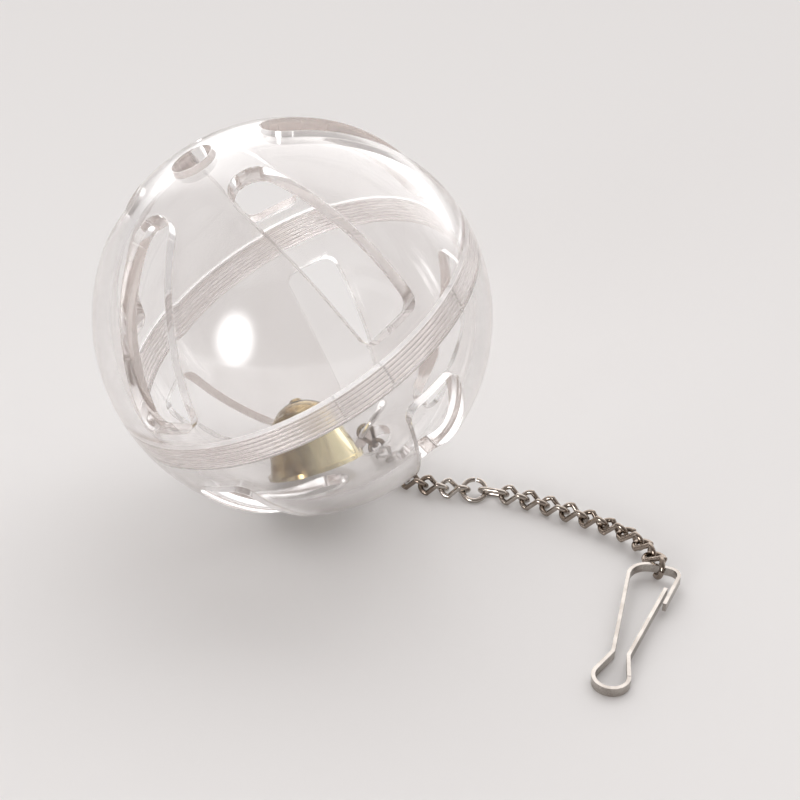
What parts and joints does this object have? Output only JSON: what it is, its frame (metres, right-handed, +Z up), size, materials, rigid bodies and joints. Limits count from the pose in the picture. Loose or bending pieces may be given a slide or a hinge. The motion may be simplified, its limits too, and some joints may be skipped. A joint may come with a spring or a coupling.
{
  "type": "hanging treat ball",
  "caption": "Clear slotted ball in two screw-together halves with a loose brass bell inside, hung by a twisted curb chain and a spring strip clip.",
  "frame": {"origin": "the point where the ball touches the table", "axes": "+Z up, X to the right and Y away from the viewer as in the picture; the ball's own axis leans from upright"},
  "size_m": [0.1151, 0.1071, 0.0799],
  "materials": {
    "clear_plastic": "clear polished acrylic",
    "nickel_steel": "nickel-plated wire",
    "brass": "polished brass"
  },
  "bodies": {
    "base": {"lower_shell": "clear_plastic"},
    "lid": {"upper_shell": "clear_plastic"},
    "bell": {"bell": "brass", "clapper_eye": "nickel_steel"},
    "clapper": {"clapper": "nickel_steel"},
    "stop_ring": {"stop_ring": "nickel_steel"},
    "link_01": {"link_01": "nickel_steel"},
    "link_02": {"link_02": "nickel_steel"},
    "link_03": {"link_03": "nickel_steel"},
    "link_04": {"link_04": "nickel_steel"},
    "link_05": {"link_05": "nickel_steel"},
    "link_06": {"link_06": "nickel_steel"},
    "chain_ring": {"chain_ring": "nickel_steel"},
    "plain_link": {"plain_link": "nickel_steel"},
    "link_07": {"link_07": "nickel_steel"},
    "link_08": {"link_08": "nickel_steel"},
    "link_09": {"link_09": "nickel_steel"},
    "link_10": {"link_10": "nickel_steel"},
    "link_11": {"link_11": "nickel_steel"},
    "link_12": {"link_12": "nickel_steel"},
    "link_13": {"link_13": "nickel_steel"},
    "link_14": {"link_14": "nickel_steel"},
    "link_15": {"link_15": "nickel_steel"},
    "clip_frame": {"clip_frame": "nickel_steel"},
    "clip_tongue": {"clip_tongue": "nickel_steel"}
  },
  "joints": [
    {"name": "lid_unscrew", "type": "hinge", "parent": "base", "child": "lid", "pos_m": [0, 0, 0.04], "axis": [-0.4372, -0.1333, 0.8894], "range_deg": [0, 720]},
    {"name": "bell_roam", "type": "hinge", "parent": "base", "child": "bell", "pos_m": [0, 0, 0.04], "axis": [-0.2915, 0.9566, 0], "range_deg": [0, 120]},
    {"name": "clapper_swing", "type": "hinge", "parent": "bell", "child": "clapper", "pos_m": [0.00067, -0.00371, 0.01875], "axis": [0.8194, 0.5732, 0.0003], "range_deg": [-66.2, 3.8]},
    {"name": "chain_turn", "type": "hinge", "parent": "base", "child": "link_01", "pos_m": [0, 0, 0.04], "axis": [-0.4372, -0.1333, 0.8894], "range_deg": [-30, 30]},
    {"name": "stop_ring_tip", "type": "hinge", "parent": "link_01", "child": "stop_ring", "pos_m": [0.01411, 0.00737, 0.00837], "axis": [-0.2915, 0.9566, 0], "range_deg": [-4, 4]},
    {"name": "link_02_bend", "type": "hinge", "parent": "link_01", "child": "link_02", "pos_m": [0.01643, 0.00565, 0.00581], "axis": [0, 0, 1], "range_deg": [-5, 5]},
    {"name": "link_03_bend", "type": "hinge", "parent": "link_02", "child": "link_03", "pos_m": [0.01926, 0.00312, 0.00317], "axis": [0, 0, -1], "range_deg": [-15, 15]},
    {"name": "link_04_bend", "type": "hinge", "parent": "link_03", "child": "link_04", "pos_m": [0.02236, -0.00003, 0.00183], "axis": [0.5225, 0.8526, 0], "range_deg": [-5, 25]},
    {"name": "link_05_bend", "type": "hinge", "parent": "link_04", "child": "link_05", "pos_m": [0.0263, -0.00244, 0.00183], "axis": [0, 0, 1], "range_deg": [-30, 15]},
    {"name": "link_06_bend", "type": "hinge", "parent": "link_05", "child": "link_06", "pos_m": [0.03072, -0.00381, 0.00183], "axis": [-0.1357, -0.9907, 0], "range_deg": [-20, 20]},
    {"name": "chain_ring_bend", "type": "hinge", "parent": "link_06", "child": "chain_ring", "pos_m": [0.03529, -0.00443, 0.00183], "axis": [0, 0, -1], "range_deg": [-20, 22]},
    {"name": "plain_link_bend", "type": "hinge", "parent": "chain_ring", "child": "plain_link", "pos_m": [0.03902, -0.00488, 0.00183], "axis": [0.279, 0.9603, 0], "range_deg": [-24, 30]},
    {"name": "link_07_bend", "type": "hinge", "parent": "plain_link", "child": "link_07", "pos_m": [0.04345, -0.00617, 0.00183], "axis": [0, 0, 1], "range_deg": [-20, 32]},
    {"name": "link_08_bend", "type": "hinge", "parent": "link_07", "child": "link_08", "pos_m": [0.04766, -0.00809, 0.00183], "axis": [-0.4848, -0.8746, 0], "range_deg": [-26, 26]},
    {"name": "link_09_bend", "type": "hinge", "parent": "link_08", "child": "link_09", "pos_m": [0.0517, -0.01033, 0.00183], "axis": [0, 0, -1], "range_deg": [-30, 24]},
    {"name": "link_10_bend", "type": "hinge", "parent": "link_09", "child": "link_10", "pos_m": [0.05557, -0.01284, 0.00199], "axis": [0.5948, 0.8039, 0], "range_deg": [-28, 28]},
    {"name": "link_11_bend", "type": "hinge", "parent": "link_10", "child": "link_11", "pos_m": [0.05928, -0.01559, 0.00215], "axis": [0, 0, 1], "range_deg": [-20, 28]},
    {"name": "link_12_bend", "type": "hinge", "parent": "link_11", "child": "link_12", "pos_m": [0.06292, -0.01843, 0.00231], "axis": [-0.6561, -0.7547, 0], "range_deg": [-28, 24]},
    {"name": "link_13_bend", "type": "hinge", "parent": "link_12", "child": "link_13", "pos_m": [0.0664, -0.02146, 0.00248], "axis": [0, 0, -1], "range_deg": [-30, 10]},
    {"name": "link_14_bend", "type": "hinge", "parent": "link_13", "child": "link_14", "pos_m": [0.06915, -0.02517, 0.00253], "axis": [0.9272, 0.3746, 0], "range_deg": [-16, 24]},
    {"name": "link_15_bend", "type": "hinge", "parent": "link_14", "child": "link_15", "pos_m": [0.07088, -0.02946, 0.00258], "axis": [0, 0, 1], "range_deg": [-10, 30]},
    {"name": "clip_swing", "type": "hinge", "parent": "link_15", "child": "clip_frame", "pos_m": [0.07142, -0.03357, 0.00243], "axis": [0, 0, 1], "range_deg": [0, 40]},
    {"name": "tongue_press", "type": "hinge", "parent": "clip_frame", "child": "clip_tongue", "pos_m": [0.05794, -0.06366, 0.00108], "axis": [-0.0166, -0.0375, 0.9992], "range_deg": [0, 10], "stiffness_Nm_per_rad": 0.1}
  ]
}
